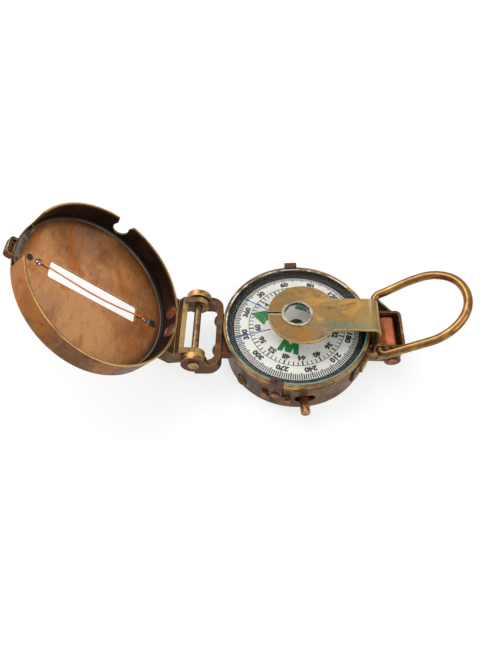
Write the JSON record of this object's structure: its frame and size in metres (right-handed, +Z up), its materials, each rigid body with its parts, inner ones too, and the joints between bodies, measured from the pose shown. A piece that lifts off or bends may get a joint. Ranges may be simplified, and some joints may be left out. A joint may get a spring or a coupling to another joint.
{
  "type": "magnetic compass",
  "caption": "Round folding sighting compass: hinged lid with a slot and wire, turning glazed bezel, floating card, lens arm, card lock and carrying bail.",
  "frame": {"origin": "centre of the round case's underside, on the table", "axes": "+X towards the lens bracket and the bail, -X towards the lid's hinge, +Y away from the card lock's pin, +Z up through the glass"},
  "size_m": [0.1427, 0.0586, 0.0557],
  "materials": {
    "case_brass": "aged satin",
    "bezel_brass": "aged satin",
    "bracket_brass": "aged satin",
    "clip_brass": "dark patina",
    "screw_brass": "aged satin",
    "dark_rivet": "dark patina",
    "copper_spring": "aged copper tint",
    "copper_rivet": "aged copper tint",
    "pin_brass": "aged satin",
    "lid_brass": "mottled patina",
    "arm_brass": "aged satin",
    "bail_brass": "aged satin",
    "wire_copper": "bright copper",
    "post_steel": "machined",
    "magnet_steel": "ground",
    "black_ring": "matt black",
    "card_white": "printed, silver white",
    "jewel_green": "gloss",
    "window_glass": "clear, bevelled edge",
    "lens_glass": "clear"
  },
  "bodies": {
    "case": {"base_case": "case_brass", "chapter_ring": "black_ring", "pivot_plate": "post_steel", "pivot_plate_screws": "screw_brass", "pivot_post": "post_steel", "bezel_clip_near": "clip_brass", "bezel_clip_far": "clip_brass", "clip_screws": "screw_brass", "click_spring": "copper_spring", "click_spring_stud": "screw_brass", "wall_stud": "screw_brass", "hinge_yoke": "bracket_brass", "hinge_yoke_rivets": "dark_rivet", "hinge_pin": "pin_brass", "lens_bracket": "bracket_brass", "bail_lug_near": "bracket_brass", "bail_lug_far": "bracket_brass", "bracket_cross_pin": "pin_brass", "leaf_spring": "copper_spring", "bracket_tab_rivets": "screw_brass", "lens_hinge_pin": "pin_brass", "card_lifter": "copper_spring"},
    "bezel": {"bezel_ring": "bezel_brass", "glass": "window_glass"},
    "card": {"compass_card": "card_white", "card_hub": "copper_rivet", "jewel_cap": "jewel_green", "magnets": "magnet_steel"},
    "lever": {"lock_lever": "post_steel", "lock_pin": "copper_rivet"},
    "lid": {"lid_shell": "lid_brass", "lid_bracket": "bracket_brass", "lid_rivets": "copper_rivet", "sighting_wire": "wire_copper", "wire_plugs": "dark_rivet", "lid_catch": "lid_brass"},
    "lens_arm": {"lens_arm": "arm_brass", "lens_ring": "arm_brass", "lens": "lens_glass"},
    "bail": {"bail": "bail_brass"}
  },
  "joints": [
    {"name": "lid_hinge", "type": "hinge", "parent": "case", "child": "lid", "pos_m": [-0.03435, -0.0021, 0.0129], "axis": [0, -1, 0], "range_deg": [-133.3, 46.7]},
    {"name": "lens_arm_hinge", "type": "hinge", "parent": "case", "child": "lens_arm", "pos_m": [0.0269, 0, 0.0089], "axis": [0, 1, 0], "range_deg": [0, 60]},
    {"name": "bail_swing", "type": "hinge", "parent": "case", "child": "bail", "pos_m": [0.0276, 0, 0.0139], "axis": [0, -1, 0], "range_deg": [-54, 118]},
    {"name": "bezel_turn", "type": "hinge", "parent": "case", "child": "bezel", "pos_m": [0, 0, 0.0128], "axis": [0, 0, 1], "continuous": true},
    {"name": "card_turn", "type": "hinge", "parent": "case", "child": "card", "pos_m": [0, 0, 0.0112], "axis": [0, 0, 1], "continuous": true},
    {"name": "lock_swing", "type": "hinge", "parent": "case", "child": "lever", "pos_m": [0, 0, 0.0055], "axis": [0, 0, 1], "range_deg": [-3.5, 5.3]}
  ]
}
